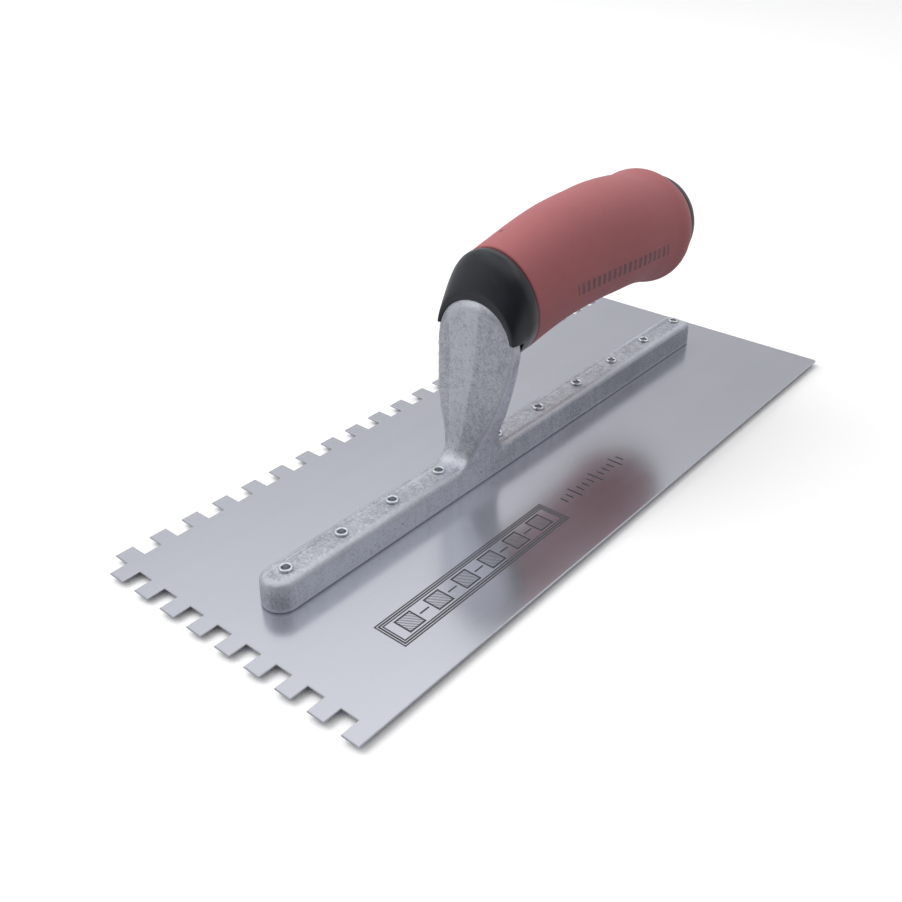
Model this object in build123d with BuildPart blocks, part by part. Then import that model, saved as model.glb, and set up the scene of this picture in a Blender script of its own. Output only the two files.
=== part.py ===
"""Notched trowel: a thin steel blade riveted under a cast mounting, whose tang carries a soft-grip handle.

The origin is under the middle of the blade, on the face that slides over the work. +X runs along the
blade to its plain heel, +Y to its notched long edge and +Z up to the handle.
"""
from build123d import *
import os

os.makedirs("parts", exist_ok=True)

# ---------------------------------------------------------------- driving dimensions, in millimetres
blade_length = 279.4
blade_width = 114.3
blade_thickness = 0.8
notch = 6.35                 # width and depth of each square notch
notch_pitch = 2 * notch
corner_radius = 1.0          # the blade's two plain corners

bar_length = 241.0
bar_half_width = 6.35
bar_height = 10.4
bar_draft = 2.0              # degrees
bar_edge_radius = 1.4
heel_corner_radius = 2.2

rivet_radius = 1.9
rivet_head_radius = 2.9
rivet_ring_radius = 2.25
rivet_bore_radius = 1.3
rivet_bore_depth = 1.6
rivet_ring_height = 0.8
front_rivets = 4
front_rivet_pitch = 22.9
rear_rivets = 6
rear_rivet_pitch = 25.3
first_rivet = -111.5         # the rivet nearest the toe
fifth_rivet = -10.9          # the first one behind the shank

# The shank, from its foot up: height, front face, half width, depth of the side face, back, half width there
shank = [
    (10.6, -37.5, 5.4, 18.0, -14.6, 4.6),
    (12.2, -34.4, 5.9, 15.5, -15.2, 4.6),
    (15.0, -32.0, 6.9, 12.5, -15.8, 4.8),
    (20.0, -30.4, 8.6, 10.5, -15.9, 5.0),
    (26.5, -29.0, 11.0, 8.6, -15.6, 5.2),
    (34.5, -27.2, 13.4, 6.6, -14.8, 5.4),
    (43.0, -25.2, 15.0, 5.2, -13.6, 5.5),
    (51.2, -24.0, 15.9, 4.8, -12.0, 5.5),
]
face_crown = 1.0             # how far the middle of the shank's front face stands proud at the foot
least_crown = 0.02           # and at its head
head_radius = 15.9           # round top of the shank's face
head_depth = 4.8

tang_half_width = 5.5
tang_sweep = [(-12.0, 50.5), (-6.0, 54.2)]   # along and up: where the shank's back curves into the tang
tang_end = 62.0
tang_root_top = 66.0
tang_tip_height = 9.0
tapped_depth = 24.0

# The handle, from the collar joint back to the end cap, in even steps:
# height of the middle, half height, half width, and degrees that the section leans back
handle_front = -11.0
handle_step = 12.0
handle = [
    (62.8, 19.9, 16.5, 10.5),
    (65.1, 20.1, 16.9, 7.0),
    (67.1, 20.4, 17.4, 4.0),
    (68.0, 20.6, 18.1, 2.0),
    (68.3, 20.7, 19.0, 0.0),
    (68.1, 20.8, 19.9, 0.0),
    (67.1, 20.8, 20.5, 0.0),
    (65.3, 21.5, 21.3, 0.0),
    (64.3, 18.6, 18.6, 0.0),
]
grip_wall = 3.0

# The collar ahead of that joint: distance along, height of the middle, half height, half width
collar_nose = [
    (-17.0, 61.0, 19.9, 17.2),
    (-25.2, 58.6, 13.4, 15.8),
]
collar_lip = 1.2             # how far the collar stands ahead of the shank's face
skirt_height = 55.0          # lower edge of the collar beside the shank's face
nose_radius = 2.0

cap_depth = 12.0
cap_draft = 8.0              # degrees
cap_edge_radius = 10.0
cap_spigot_radius = 7.9
cap_spigot_length = 5.5
pocket_radius = 8.0
pocket_floor = 71.0          # face under the washer, measured along the handle
screw_radius = 3.0
screw_hole_radius = 3.4
screw_length = 30.0
screw_head_radius = 5.4
screw_head_height = 3.6
washer_radius = 7.0
washer_thickness = 1.4

# ---------------------------------------------------------------- values worked out from them
bar_top = blade_thickness + bar_height
toe = -blade_length / 2
front_row = [first_rivet + front_rivet_pitch * i for i in range(front_rivets)]
rear_row = [fifth_rivet + rear_rivet_pitch * i for i in range(rear_rivets)]
rivet_places = [(x, 0) for x in front_row + rear_row]
handle_planes = [
    Plane(origin=(handle_front + handle_step * i, 0, middle), x_dir=(0, 1, 0),
          z_dir=Vector(1, 0, 0).rotate(Axis.Y, -lean))
    for i, (middle, half_height, half_width, lean) in enumerate(handle)
]
joint_plane = handle_planes[0]
cap_plane = handle_planes[-1]
screw_height = handle[-1][0]
handle_end = handle_front + handle_step * (len(handle) - 1)
head_height = shank[-1][0]
head_face = shank[-1][1]

# ---------------------------------------------------------------- blade
with BuildPart() as blade:
    with BuildSketch():
        Rectangle(blade_length, blade_width)
        heel_corners = vertices().group_by(Axis.X)[-1]
        fillet(heel_corners, corner_radius)
        # square notches along the far long edge, the first one taking the toe corner
        with Locations(*[(toe + notch / 2 + notch_pitch * i, (blade_width - notch) / 2)
                         for i in range(int(blade_length / notch_pitch))]):
            Rectangle(notch, notch, mode=Mode.SUBTRACT)
        # the same along the toe
        with Locations(*[(toe + notch / 2, (blade_width - notch) / 2 - notch_pitch * i)
                         for i in range(int(blade_width / notch_pitch))]):
            Rectangle(notch, notch, mode=Mode.SUBTRACT)
    extrude(amount=blade_thickness)
    # countersinks for the rivet heads, ground flush with the underside
    with Locations(*rivet_places):
        Cone(rivet_head_radius, rivet_radius, blade_thickness,
             align=(Align.CENTER, Align.CENTER, Align.MIN), mode=Mode.SUBTRACT)
blade.part.label = "blade"

# ---------------------------------------------------------------- rivets
with BuildPart() as one_rivet:
    with BuildSketch(Plane.XZ):
        with BuildLine():
            Polyline((0, 0), (rivet_head_radius, 0), (rivet_radius, blade_thickness),
                     (rivet_radius, bar_top), (rivet_ring_radius, bar_top))
            ThreePointArc((rivet_ring_radius, bar_top),
                          ((rivet_ring_radius + rivet_bore_radius) / 2, bar_top + rivet_ring_height),
                          (rivet_bore_radius, bar_top))
            Polyline((rivet_bore_radius, bar_top), (rivet_bore_radius, bar_top - rivet_bore_depth),
                     (0, bar_top - rivet_bore_depth - rivet_bore_radius / 2), (0, 0))
        make_face()
    revolve(axis=Axis.Z)

with BuildPart() as rivets:
    with Locations(*rivet_places):
        add(one_rivet.part)
rivets.part.label = "rivets"

# ---------------------------------------------------------------- mounting: bar, shank and tang in one casting
with BuildPart() as mounting:
    # bar, round at the toe end and square at the heel end
    with BuildSketch(Plane.XY.offset(blade_thickness)):
        with Locations((bar_length / 2, 0)):
            Rectangle(bar_length - bar_half_width, 2 * bar_half_width, align=(Align.MAX, Align.CENTER))
        fillet(vertices().group_by(Axis.X)[-1], heel_corner_radius)
        with Locations((bar_half_width - bar_length / 2, 0)):
            Circle(bar_half_width)
    extrude(amount=bar_height, taper=bar_draft)
    fillet(faces().sort_by(Axis.Z)[-1].edges(), bar_edge_radius)
    with BuildSketch(Plane.XY.offset(blade_thickness)):
        with Locations(*rivet_places):
            Circle(rivet_radius)
    extrude(amount=bar_height, mode=Mode.SUBTRACT)
    # shank, flaring from the bar into a wide paddle
    for height, front, half_width, side, back, back_half_width in shank:
        crown = face_crown * (1 - height / head_height)
        with BuildSketch(Plane.XY.offset(height)):
            with BuildLine():
                ThreePointArc((front, -half_width), (front - crown - least_crown, 0), (front, half_width))
                Polyline((front, half_width), (front + side, half_width), (back, back_half_width),
                         (back, -back_half_width), (front + side, -half_width), (front, -half_width))
            make_face()
    loft()
    # round head of the paddle
    with BuildSketch(Plane.YZ.offset(head_face)):
        with BuildLine():
            Line((-head_radius, head_height), (head_radius, head_height))
            ThreePointArc((head_radius, head_height), (0, head_height + head_radius),
                          (-head_radius, head_height))
        make_face()
    extrude(amount=head_depth)
    # tang, tapering to its tapped end
    with BuildSketch(Plane.XZ):
        with BuildLine():
            Polyline((head_face + head_depth / 2, shank[-2][0]), (shank[-2][4], shank[-2][0]))
            ThreePointArc((shank[-2][4], shank[-2][0]), *tang_sweep)
            Polyline(tang_sweep[-1], (tang_end, screw_height - tang_tip_height / 2),
                     (tang_end, screw_height + tang_tip_height / 2),
                     (head_face + head_depth / 2, tang_root_top),
                     (head_face + head_depth / 2, shank[-2][0]))
        make_face()
    extrude(amount=tang_half_width, both=True)
    with BuildSketch(Plane.YZ.offset(tang_end)):
        with Locations((0, screw_height)):
            Circle(screw_radius)
    extrude(amount=-tapped_depth, mode=Mode.SUBTRACT)
mounting.part.label = "mounting"

# ---------------------------------------------------------------- handle core
with BuildPart() as handle_core:
    for plane, (middle, half_height, half_width, lean) in zip(handle_planes, handle):
        with BuildSketch(plane):
            Ellipse(half_width - grip_wall, half_height - grip_wall)
    loft()
    add(mounting.part, mode=Mode.SUBTRACT)
    # way through for the screw, from the tang's tapped hole to the pocket behind it
    with BuildSketch(Plane.YZ.offset(pocket_floor)):
        with Locations((0, screw_height)):
            Circle(screw_hole_radius)
    extrude(amount=tang_end - tapped_depth - pocket_floor, mode=Mode.SUBTRACT)
    with BuildSketch(Plane.YZ.offset(pocket_floor)):
        with Locations((0, screw_height)):
            Circle(pocket_radius)
    extrude(amount=handle_end - pocket_floor, mode=Mode.SUBTRACT)
handle_core.part.label = "handle_core"

# ---------------------------------------------------------------- grip sleeve
with BuildPart() as grip_sleeve:
    for plane, (middle, half_height, half_width, lean) in zip(handle_planes, handle):
        with BuildSketch(plane):
            Ellipse(half_width, half_height)
    loft()
    for plane, (middle, half_height, half_width, lean) in zip(handle_planes, handle):
        with BuildSketch(plane):
            Ellipse(half_width - grip_wall, half_height - grip_wall)
    loft(mode=Mode.SUBTRACT)
grip_sleeve.part.label = "grip_sleeve"

# ---------------------------------------------------------------- front collar
with BuildPart() as front_collar:
    with BuildSketch(joint_plane):
        Ellipse(handle[0][2], handle[0][1])
    for x, z, half_height, half_width in collar_nose:
        with BuildSketch(Plane(origin=(x, 0, z), x_dir=(0, 1, 0), z_dir=(1, 0, 0))):
            Ellipse(half_width, half_height)
    loft()
    fillet(faces().sort_by(Axis.X)[0].edges(), nose_radius)
    # window for the shank's face, open at the bottom
    with BuildSketch(Plane.YZ.offset(head_face)):
        with Locations((0, head_height)):
            Circle(head_radius)
        with Locations((0, 0)):
            Rectangle(2 * head_radius, head_height, align=(Align.CENTER, Align.MIN))
    extrude(amount=-2 * collar_lip, mode=Mode.SUBTRACT)
    # clear of the shank's side faces below the skirt
    with BuildSketch(Plane.XZ):
        with Locations((head_face + head_depth, skirt_height)):
            Rectangle(head_radius, skirt_height, align=(Align.MAX, Align.MAX))
    extrude(amount=blade_width, both=True, mode=Mode.SUBTRACT)
    add(mounting.part, mode=Mode.SUBTRACT)
front_collar.part.label = "front_collar"

# ---------------------------------------------------------------- end cap
with BuildPart() as end_cap:
    with BuildSketch(cap_plane):
        Ellipse(handle[-1][2], handle[-1][1])
    extrude(amount=cap_depth, taper=cap_draft)
    fillet(faces().sort_by(Axis.X)[-1].edges(), cap_edge_radius)
    with BuildSketch(cap_plane):
        Circle(cap_spigot_radius)
    extrude(amount=-cap_spigot_length)
end_cap.part.label = "end_cap"

# ---------------------------------------------------------------- tang screw and its washer
with BuildPart() as tang_washer:
    with BuildSketch(Plane.YZ.offset(pocket_floor)):
        with Locations((0, screw_height)):
            Circle(washer_radius)
            Circle(screw_hole_radius, mode=Mode.SUBTRACT)
    extrude(amount=washer_thickness)
tang_washer.part.label = "tang_washer"

with BuildPart() as tang_screw:
    with BuildSketch(Plane.YZ.offset(pocket_floor + washer_thickness)):
        with Locations((0, screw_height)):
            Circle(screw_head_radius)
    extrude(amount=screw_head_height)
    fillet(faces().sort_by(Axis.X)[-1].edges(), screw_head_height / 2)
    with BuildSketch(Plane.YZ.offset(pocket_floor + washer_thickness)):
        with Locations((0, screw_height)):
            Circle(screw_radius)
    extrude(amount=-screw_length)
tang_screw.part.label = "tang_screw"

for piece in (blade, rivets, mounting, handle_core, grip_sleeve, front_collar, end_cap,
              tang_washer, tang_screw):
    export_step(piece.part, f"parts/{piece.part.label}.step")
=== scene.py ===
"""Looks of the notched trowel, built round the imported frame: finished pieces, their materials and the stage.

Everything is in metres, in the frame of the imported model: the origin under the middle of the blade, +X to the
plain heel, +Y to the notched long edge and +Z up to the handle.
"""
import math
import bmesh
import bpy
import numpy as np
from bpy.props import FloatProperty, FloatVectorProperty, PointerProperty
from mathutils import Matrix, Vector


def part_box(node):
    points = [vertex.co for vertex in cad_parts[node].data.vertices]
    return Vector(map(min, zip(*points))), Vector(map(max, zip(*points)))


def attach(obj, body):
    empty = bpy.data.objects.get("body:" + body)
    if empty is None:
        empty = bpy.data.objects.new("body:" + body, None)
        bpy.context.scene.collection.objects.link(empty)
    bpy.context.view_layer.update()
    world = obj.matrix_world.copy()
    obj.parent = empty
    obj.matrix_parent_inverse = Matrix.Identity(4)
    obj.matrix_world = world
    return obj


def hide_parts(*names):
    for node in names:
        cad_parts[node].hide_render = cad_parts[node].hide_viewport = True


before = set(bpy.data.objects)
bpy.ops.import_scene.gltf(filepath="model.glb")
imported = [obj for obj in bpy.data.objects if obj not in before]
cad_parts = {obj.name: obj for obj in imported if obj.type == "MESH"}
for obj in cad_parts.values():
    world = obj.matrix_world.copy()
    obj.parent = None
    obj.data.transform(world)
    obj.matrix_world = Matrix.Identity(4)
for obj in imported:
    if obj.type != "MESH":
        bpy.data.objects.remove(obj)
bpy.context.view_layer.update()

bl_info = {
    "name": "Notched Trowel",
    "version": (1, 0, 0),
    "blender": (4, 5, 0),
    "location": "3D View > Sidebar > Trowel",
    "description": "Builds the visible pieces of a notched trowel and its studio round a packed frame",
    "category": "Add Mesh",
}

MM = 0.001

blade_low, blade_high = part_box("blade")
casting_low, casting_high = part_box("mounting")
cap_low, cap_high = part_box("end_cap")

# ---------------------------------------------------------------- shapes, in millimetres
NOTCH = 6.35
NOTCH_PITCH = 2 * NOTCH
BLADE_CORNER = 1.0

BAR_HALF_WIDTH = 6.35
BAR_TOP = 11.2
BAR_DRAFT = 2.0                          # degrees
HEEL_CORNER = 2.2                        # radius of the bar's corners at the heel end

RIVET_PLACES = [-111.5 + 22.9 * i for i in range(4)] + [-10.9 + 25.3 * i for i in range(6)]
RIVET_HEAD = 2.9                         # radius of the countersink at the blade's underside
RIVET_SHANK = 1.9

SCREW_RADIUS = 3.0
SCREW_HOLE = (38.0, 64.0)                # bottom and mouth of the tapped hole, along the tang
SCREW_HEIGHT = (cap_low.z + cap_high.z) / 2 / MM

# Shank, from its foot up: height, front face, half width, depth of the side face, back, half width there
SHANK = [
    (8.0, -41.0, 5.9, 22.0, -13.0, 5.6),
    (10.6, -37.5, 6.0, 18.0, -14.2, 5.5),
    (12.2, -34.4, 6.1, 15.5, -15.0, 5.2),
    (15.0, -32.0, 6.9, 12.5, -15.8, 4.8),
    (20.0, -30.4, 8.6, 10.5, -15.9, 5.0),
    (26.5, -29.0, 11.0, 8.6, -15.6, 5.2),
    (34.5, -27.2, 13.4, 6.6, -14.8, 5.4),
    (43.0, -25.2, 15.0, 5.2, -13.6, 5.5),
    (51.2, -24.0, 15.9, 4.8, -12.0, 5.5),
]
HEAD = (-24.0, 51.2, 15.9, 4.8)          # face, height of the centre, radius and depth of the round head
FACE_CROWN = 1.8                         # how proud the panel of the shank's face stands

# Tang, from the shank back to its tip: distance along, underside, top
TANG = [(-22.0, 44.0, 64.5), (-12.0, 50.0, 66.5), (-6.0, 54.0, 67.8), (20.0, 56.6, 68.4), (62.0, 59.7, 68.7)]
TANG_HALF_WIDTH = 5.5

# Handle from the collar joint back to the cap, in even steps: middle height, half height, half width and the
# degrees that its top leans forward
HANDLE_JOINT = -11.0
HANDLE_STEP = 8.05
HANDLE = [
    (62.8, 19.9, 16.5, 10.5),
    (64.4, 20.0, 16.7, 8.0),
    (65.9, 20.2, 17.0, 6.0),
    (67.1, 20.4, 17.4, 4.0),
    (67.9, 20.6, 17.9, 2.5),
    (68.2, 20.7, 18.4, 1.2),
    (68.3, 20.7, 19.0, 0.0),
    (68.2, 20.9, 19.7, 0.0),
    (67.9, 20.8, 20.2, 0.0),
    (67.1, 20.8, 20.5, 0.0),
    (65.7, 21.1, 21.1, 0.0),
    (64.8, 22.0, 21.7, 0.0),
    (64.3, 18.6, 18.2, 0.0),
]
CAP_TIP = 97.0
SPIGOT_LENGTH = 5.5
SPIGOT_SHARE = 0.42                      # size of the spigot, as a share of the cap's

# Collar, from the grip joint forward to its flat front: distance along, middle height,
# height above the middle, half width, lean, depth below the middle
COLLAR = [
    (-11.0, 62.6, 19.1, 16.0, 10.5, 19.2),
    (-12.2, 62.1, 20.1, 16.9, 9.0, 18.5),
    (-15.5, 60.6, 21.3, 17.4, 6.0, 16.6),
    (-18.6, 59.1, 20.7, 16.9, 3.0, 16.2),
    (-21.1, 56.2, 20.5, 16.6, 1.0, 17.0),
    (-23.1, 53.2, 20.0, 16.5, 0.0, 17.0),
    (-24.2, 52.5, 17.6, 16.2, 0.0, 16.0),
]
SKIRT_HEIGHT = 55.0                      # lower edge of the collar beside the shank's face
SKIRT_BACK = -18.6                       # where that edge ends and the nose's underside begins


# ---------------------------------------------------------------- settings that a user would change
class TrowelShape(bpy.types.PropertyGroup):
    """Sizes of the details that the finished pieces add to the frame."""
    blade_chamfer: FloatProperty(
        name="Blade chamfer", description="Width of the broken edge all round the blade",
        default=0.2 * MM, min=0.0, unit="LENGTH")
    bar_edge: FloatProperty(
        name="Bar edge radius", description="Radius along the top edges of the bar",
        default=2.1 * MM, min=0.0, unit="LENGTH")
    casting_grid: FloatProperty(
        name="Casting grid", description="Size of the cells that the casting is blended on",
        default=0.5 * MM, min=0.2 * MM, unit="LENGTH")
    collar_grid: FloatProperty(
        name="Collar grid", description="Size of the cells that the collar is blended on",
        default=0.3 * MM, min=0.1 * MM, unit="LENGTH")
    sleeve_wall: FloatProperty(
        name="Sleeve wall", description="Thickness of the rubber grip",
        default=3.0 * MM, min=0.5 * MM, unit="LENGTH")
    sleeve_lip: FloatProperty(
        name="Sleeve lip radius", description="Rounding at both ends of the rubber grip",
        default=0.6 * MM, min=0.0, unit="LENGTH")


class TrowelFinish(bpy.types.PropertyGroup):
    """Main colours of the finishes, in linear light."""
    steel: FloatVectorProperty(
        name="Blade steel", description="Colour of the polished blade", subtype="COLOR",
        default=(0.560, 0.576, 0.632))
    casting: FloatVectorProperty(
        name="Casting", description="Colour of the tumbled aluminium", subtype="COLOR",
        default=(0.526, 0.543, 0.592))
    zinc: FloatVectorProperty(
        name="Rivets", description="Colour of the plated rivets", subtype="COLOR",
        default=(0.78, 0.82, 0.86))
    rubber: FloatVectorProperty(
        name="Grip rubber", description="Colour of the soft grip", subtype="COLOR",
        default=(0.400, 0.120, 0.128))
    plastic: FloatVectorProperty(
        name="Collar and cap", description="Colour of the moulded collar and end cap", subtype="COLOR",
        default=(0.008, 0.011, 0.0155))


class TrowelStage(bpy.types.PropertyGroup):
    """Floor, lights and camera."""
    floor_drop: FloatProperty(
        name="Floor drop", description="How far the floor lies under the blade",
        default=1.7 * MM, min=0.0, unit="LENGTH")
    sky: FloatProperty(
        name="Sky strength", description="Brightness of the studio's walls and ceiling", default=1.0, min=0.0)
    key: FloatProperty(
        name="Key light", description="Power of the large overhead softbox in watts", default=15.0, min=0.0)
    fill: FloatProperty(
        name="Side light", description="Power of the softbox at the toe end in watts", default=0.5, min=0.0)
    azimuth: FloatProperty(
        name="Azimuth", description="Turn of the camera round the object",
        default=math.radians(-49.575), unit="ROTATION")
    elevation: FloatProperty(
        name="Elevation", description="Angle of the camera above the floor",
        default=math.radians(31.708), unit="ROTATION")
    roll: FloatProperty(
        name="Roll", description="Tilt of the camera about its own line of sight",
        default=math.radians(-0.384), unit="ROTATION")
    distance: FloatProperty(
        name="Distance", description="From the camera to the point it looks at",
        default=370.83 * MM, min=0.01, unit="LENGTH")
    target: FloatVectorProperty(
        name="Target", description="Point that the camera looks at", subtype="TRANSLATION",
        default=(-16.54 * MM, 16.79 * MM, 0.0))
    lens: FloatProperty(
        name="Lens", description="Focal length in millimetres on a 36 mm sensor", default=39.93, min=1.0)


# ---------------------------------------------------------------- meshes from arrays
def grid_faces(rows, columns, close_rows=False):
    """Quads between neighbouring rows of a grid whose columns close on themselves."""
    row, column = np.meshgrid(np.arange(rows if close_rows else rows - 1), np.arange(columns), indexing="ij")
    next_row, next_column = (row + 1) % rows, (column + 1) % columns
    corners = (row * columns + column, row * columns + next_column,
               next_row * columns + next_column, next_row * columns + column)
    return np.stack(corners, axis=-1).reshape(-1, 4).tolist()


def surface(name, rings, close_rows=False):
    """A closed surface through rings of points, an array of rows, columns and xyz in millimetres.

    A flat face closes the first and the last ring, unless the rows close on themselves as a torus does.
    """
    rows, columns = rings.shape[:2]
    faces = grid_faces(rows, columns, close_rows)
    if not close_rows:
        faces.append(list(range(columns)))
        faces.append(list(range((rows - 1) * columns, rows * columns)))
    mesh = bpy.data.meshes.new(name)
    mesh.from_pydata((rings.reshape(-1, 3) * MM).tolist(), [], faces)
    outward(mesh)
    piece = bpy.data.objects.new(name, mesh)
    bpy.context.scene.collection.objects.link(piece)
    return piece


def outward(mesh):
    """Turns the faces of a closed mesh outwards."""
    shell = bmesh.new()
    shell.from_mesh(mesh)
    bmesh.ops.remove_doubles(shell, verts=shell.verts, dist=0.0005 * MM)
    bmesh.ops.recalc_face_normals(shell, faces=shell.faces)
    shell.to_mesh(mesh)
    shell.free()


def join(name, pieces):
    """One object from several, each still a closed shell of its own."""
    for piece in bpy.context.selected_objects:
        piece.select_set(False)
    for piece in pieces:
        piece.select_set(True)
    bpy.context.view_layer.objects.active = pieces[0]
    if len(pieces) > 1:
        bpy.ops.object.join()
    pieces[0].name = name
    pieces[0].data.name = name
    return pieces[0]


def settle(piece):
    """Applies the modifiers of a piece to its mesh."""
    graph = bpy.context.evaluated_depsgraph_get()
    mesh = bpy.data.meshes.new_from_object(piece.evaluated_get(graph))
    piece.modifiers.clear()
    piece.data = mesh
    mesh.name = piece.name
    return piece


def blended(piece, cell, rounds):
    """Blends overlapping shells into one skin on a grid of cells, then eases it that many rounds."""
    remesh = piece.modifiers.new("blend", "REMESH")
    remesh.mode = "VOXEL"
    remesh.voxel_size = cell
    ease = piece.modifiers.new("ease", "SMOOTH")
    ease.factor = 0.5
    ease.iterations = rounds
    return settle(piece)


def cut(piece, tool, solver="EXACT"):
    """Takes a tool's shape out of a piece and deletes the tool."""
    difference = piece.modifiers.new("cut", "BOOLEAN")
    difference.operation = "DIFFERENCE"
    difference.solver = solver
    difference.object = tool
    settle(piece)
    bpy.data.objects.remove(tool)
    return piece


def shade(piece, smooth):
    """Smooth or flat shading over the whole piece."""
    mesh = piece.data
    mesh.polygons.foreach_set("use_smooth", np.full(len(mesh.polygons), smooth))
    mesh.update()


def stand_for(piece, node, material):
    """Gives a finished piece its finish and lets it stand for its node in the frame."""
    piece.data.materials.clear()
    piece.data.materials.append(material)
    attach(piece, "root")
    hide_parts(node)


def mark_edges(mesh, rounds, reach):
    """Writes attribute worn: how proud each vertex stands of its eased surroundings, over reach, from -1 to 1.

    The surroundings are the mean of a vertex's neighbours, taken again and again for that many rounds.
    """
    count = len(mesh.vertices)
    points = np.empty(count * 3)
    normals = np.empty(count * 3)
    ends = np.empty(len(mesh.edges) * 2, int)
    mesh.vertices.foreach_get("co", points)
    mesh.vertices.foreach_get("normal", normals)
    mesh.edges.foreach_get("vertices", ends)
    points, normals, ends = points.reshape(-1, 3), normals.reshape(-1, 3), ends.reshape(-1, 2)
    neighbours = np.maximum(np.bincount(ends.ravel(), minlength=count), 1)
    eased = points
    for _ in range(rounds):
        sums = [np.bincount(ends[:, 0], eased[ends[:, 1], axis], count)
                + np.bincount(ends[:, 1], eased[ends[:, 0], axis], count) for axis in range(3)]
        eased = np.stack(sums, axis=1) / neighbours[:, None]
    proud = np.einsum("ij,ij->i", points - eased, normals) / reach
    attribute = mesh.attributes.new("worn", "FLOAT", "POINT")
    attribute.data.foreach_set("value", np.clip(proud, -1, 1).astype(np.float32))


def through(stations, steps):
    """A smooth curve through evenly numbered stations, column by column, with that many steps between two.

    Between stations b and c, with a before and d after, it is the cubic that passes both with slopes
    (c - a) / 2 and (d - b) / 2.
    """
    table = np.array(stations, float)
    padded = np.vstack([2 * table[0] - table[1], table, 2 * table[-1] - table[-2]])
    places = np.linspace(0, len(table) - 1, (len(table) - 1) * steps + 1)
    low = np.minimum(places.astype(int), len(table) - 2)
    t = (places - low)[:, None]
    a, b, c, d = (padded[low + i] for i in range(4))
    return (b + t * (c - a) / 2 + t ** 2 * (a - 2.5 * b + 2 * c - d / 2)
            + t ** 3 * (1.5 * (b - c) + (d - a) / 2))


def ellipses(along, middle, half_height, half_width, lean, count, depth=None):
    """Rings round the handle: each an ellipse about (along, 0, middle), leaning forward by lean degrees.

    Below the middle the half height is depth, where one is given.
    """
    turn = np.linspace(0, 2 * math.pi, count, endpoint=False)
    along, middle, half_height, half_width = (v[:, None] for v in (along, middle, half_height, half_width))
    below = half_height if depth is None else depth[:, None]
    rise = np.where(np.sin(turn) > 0, half_height, below) * np.sin(turn)
    side = half_width * np.cos(turn)
    lean = np.radians(lean)[:, None]
    parts = (along - rise * np.sin(lean), side, middle + rise * np.cos(lean))
    return np.stack(np.broadcast_arrays(*parts), axis=-1)


def level(outline, height):
    """A flat outline of (x, y) points, lifted to a height."""
    return np.column_stack([outline, np.full(len(outline), height)])


def turned(profile, count):
    """Rings of a profile of (radius, height) turned about Z."""
    turn = np.linspace(0, 2 * math.pi, count, endpoint=False)
    radius, height = np.array(profile, float).T[:, :, None]
    return np.stack(np.broadcast_arrays(radius * np.cos(turn), radius * np.sin(turn), height), axis=-1)


# ---------------------------------------------------------------- shader trees
class Wire:
    """One output in a shader tree. Sums, differences, products and quotients of wires add Math nodes."""

    def __init__(self, tree, socket):
        self.tree = tree
        self.socket = socket

    def __add__(self, other):
        return self.tree.maths("ADD", self, other)

    def __radd__(self, other):
        return self.tree.maths("ADD", other, self)

    def __sub__(self, other):
        return self.tree.maths("SUBTRACT", self, other)

    def __rsub__(self, other):
        return self.tree.maths("SUBTRACT", other, self)

    def __mul__(self, other):
        return self.tree.maths("MULTIPLY", self, other)

    def __rmul__(self, other):
        return self.tree.maths("MULTIPLY", other, self)

    def __truediv__(self, other):
        return self.tree.maths("DIVIDE", self, other)

    def __abs__(self):
        return self.tree.maths("ABSOLUTE", self)

    def step(self, low, high):
        """0 up to low, 1 from high on, and a smooth rise between them."""
        return self.tree.add("ShaderNodeMapRange", {"interpolation_type": "SMOOTHSTEP"},
                             {"Value": self, "From Min": low, "From Max": high})

    def within(self, half_width, soft):
        """1 where the value is less than half_width from 0, with edges as wide as soft."""
        return 1 - abs(self).step(half_width - soft / 2, half_width + soft / 2)


class Tree:
    """A shader tree being filled in. add makes any node, and maths and mix are short forms of it."""

    def __init__(self, tree):
        self.tree = tree
        tree.nodes.clear()

    def add(self, kind, settings=None, sockets=None, output=0):
        """Adds a node of that kind: its settings first, then the values or wires of its sockets."""
        node = self.tree.nodes.new(kind)
        for name, value in (settings or {}).items():
            if name == "stops":
                fill_ramp(node.color_ramp, value)
            else:
                setattr(node, name, value)
        for name, value in (sockets or {}).items():
            if isinstance(value, Wire):
                self.tree.links.new(value.socket, node.inputs[name])
            else:
                node.inputs[name].default_value = value
        return Wire(self, node.outputs[output]) if node.outputs else node

    def maths(self, operation, *values):
        return self.add("ShaderNodeMath", {"operation": operation}, dict(enumerate(values)))

    def mix(self, factor, a, b):
        """Colour a where factor is 0 and b where it is 1."""
        a, b = (v if isinstance(v, Wire) else (*v[:3], 1.0) for v in (a, b))
        return self.add("ShaderNodeMix", {"data_type": "RGBA"}, {0: factor, 6: a, 7: b}, output=2)

    def length(self, x, y, z):
        """Length of a vector, from its three parts."""
        return self.maths("SQRT", x * x + y * y + z * z)

    def position(self, scale=(1.0, 1.0, 1.0), place=(0.0, 0.0, 0.0)):
        """Object coordinates, moved so that place is the centre and then scaled."""
        centre = tuple(-p * s for p, s in zip(place, scale))
        return self.add("ShaderNodeMapping", None,
                        {"Vector": self.add("ShaderNodeTexCoord", output="Object"),
                         "Scale": scale, "Location": centre})

    def axes(self, vector):
        """The three parts of a vector."""
        split = self.tree.nodes.new("ShaderNodeSeparateXYZ")
        self.tree.links.new(vector.socket, split.inputs[0])
        return [Wire(self, output) for output in split.outputs]

    def noise(self, vector, scale, detail=2.0, roughness=0.5):
        return self.add("ShaderNodeTexNoise", None,
                        {"Vector": vector, "Scale": scale, "Detail": detail, "Roughness": roughness})

    def bump(self, height, distance, strength=1.0):
        return self.add("ShaderNodeBump", None, {"Height": height, "Distance": distance, "Strength": strength})


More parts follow.
